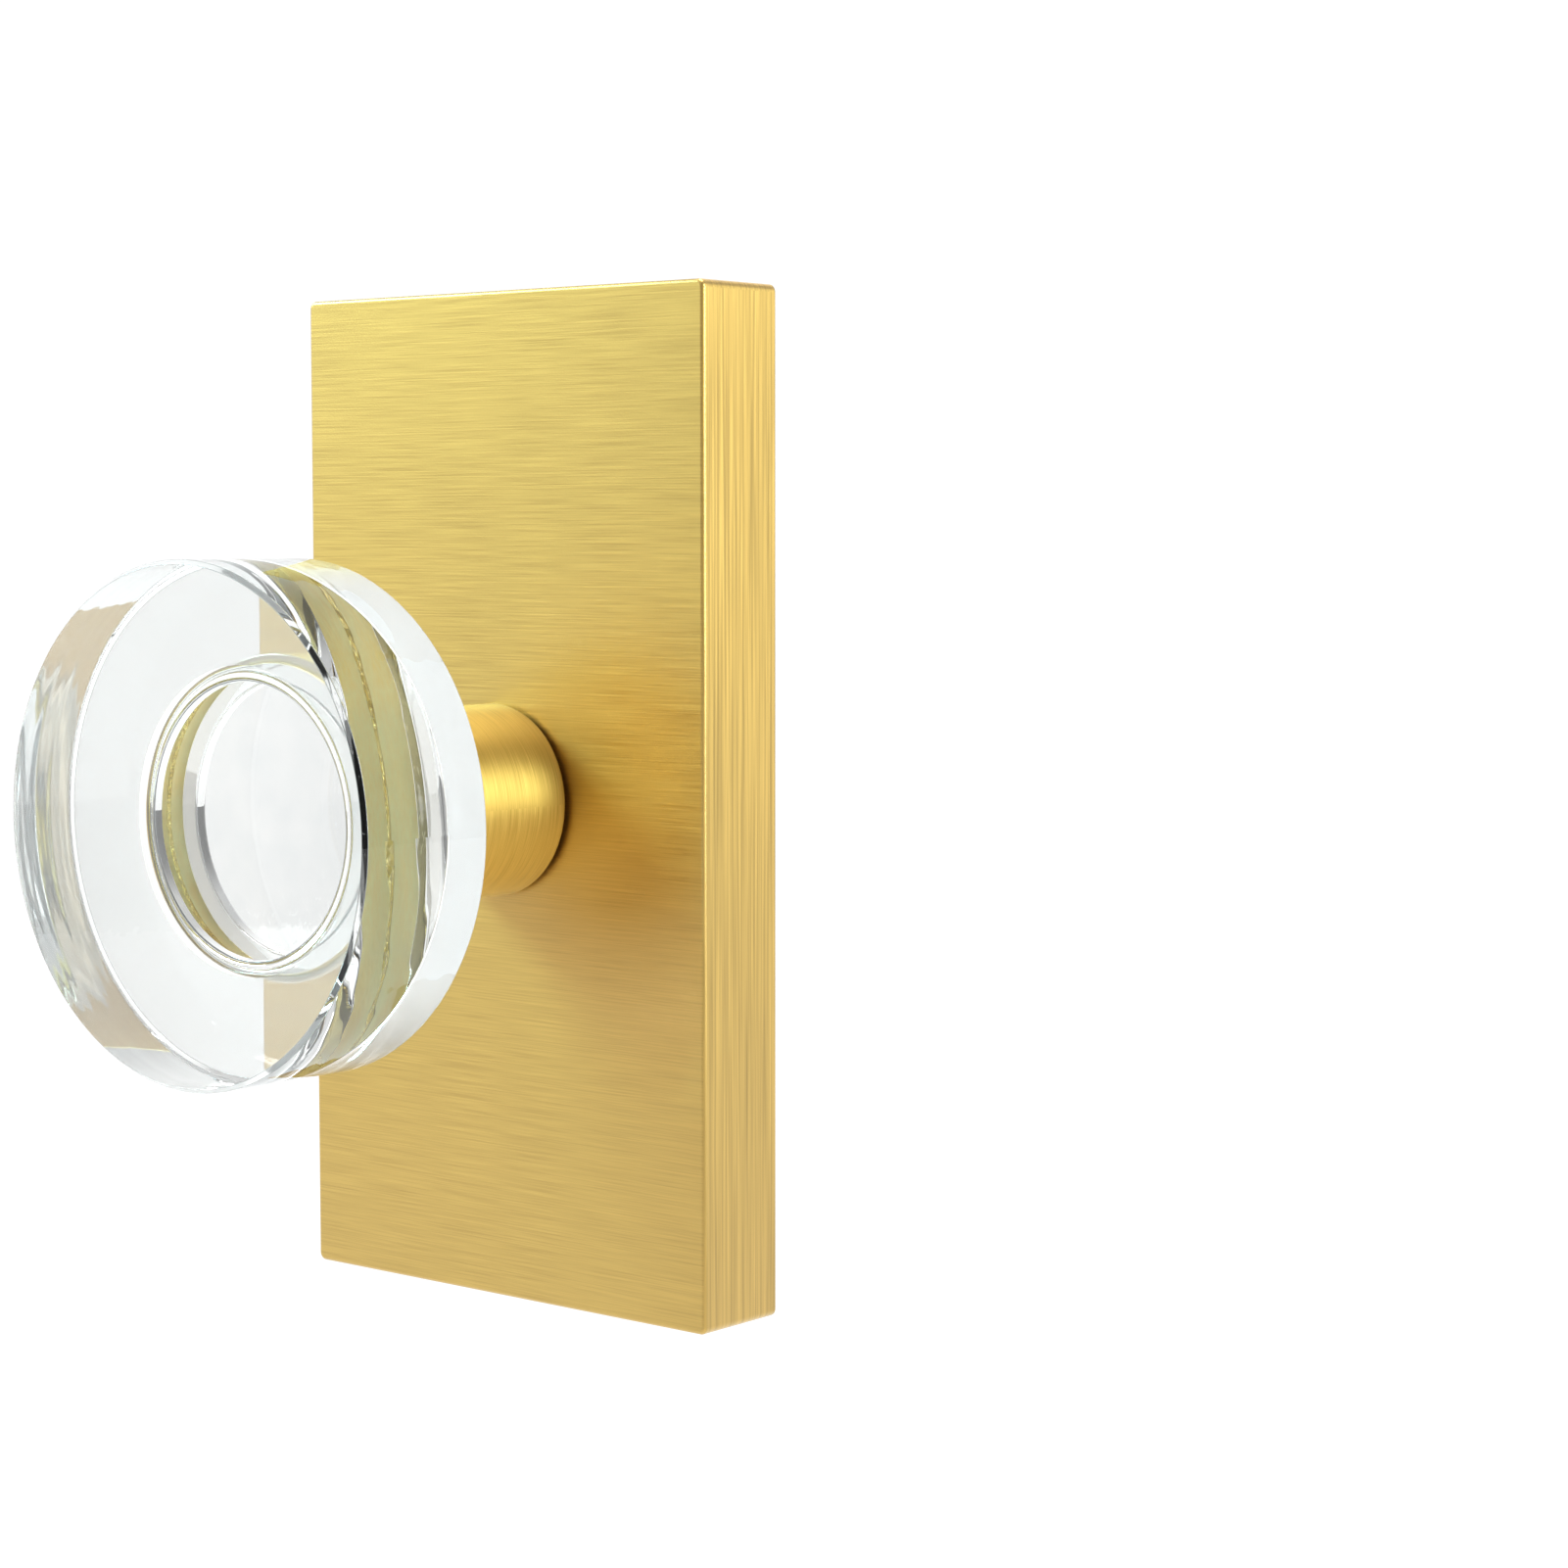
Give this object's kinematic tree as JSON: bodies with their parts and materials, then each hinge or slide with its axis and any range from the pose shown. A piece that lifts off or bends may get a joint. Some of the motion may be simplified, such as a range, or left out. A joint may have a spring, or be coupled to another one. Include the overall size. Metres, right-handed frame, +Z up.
{
  "type": "door knob",
  "caption": "Round clear-glass door knob on a tall rectangular satin-brass cover plate, turning against a return spring to drive a square latch spindle.",
  "frame": {"origin": "on the knob's turning axis at the door face, which is the back of the mounting plate", "axes": "+Y into the door along the turning axis, +Z up along the plate's long side, +X to the right as seen from the hand's side"},
  "size_m": [0.068, 0.0997, 0.127],
  "materials": {
    "satin_brass": "satin, brushed lengthways on the plate and round the neck, clear lacquer",
    "clear_glass": "polished",
    "mirror_silver": "silvered",
    "clear_bond": "cured resin, clear gold",
    "zinc_steel": "bright zinc plated sheet",
    "bare_steel": "turned and drawn steel",
    "spring_steel": "oil tempered wire and strip",
    "dark_steel": "black oxide",
    "white_nylon": "moulded nylon"
  },
  "bodies": {
    "rose": {"cover_plate": "satin_brass", "mounting_plate": "zinc_steel", "spring_housing": "zinc_steel", "housing_rivets": "bare_steel", "stop_pins": "bare_steel", "post_lower": "bare_steel", "post_upper": "bare_steel", "front_bush": "white_nylon", "rear_bush": "white_nylon", "thrust_washer": "white_nylon", "return_spring": "spring_steel", "cover_set_screw": "dark_steel"},
    "knob": {"glass_knob": "clear_glass", "mirror_backing": "mirror_silver", "bond_ring": "clear_bond", "neck": "satin_brass", "neck_screw": "dark_steel", "shank": "bare_steel", "spindle": "bare_steel", "spindle_pin": "bare_steel", "drive_hub": "bare_steel", "rear_washer": "bare_steel", "disc_spring": "spring_steel", "circlip": "spring_steel"}
  },
  "joints": [
    {"name": "knob_turn", "type": "hinge", "parent": "rose", "child": "knob", "pos_m": [0, 0, 0], "axis": [0, 1, 0], "range_deg": [-60, 60], "stiffness_Nm_per_rad": 0.3, "deforming": ["return_spring"]}
  ]
}
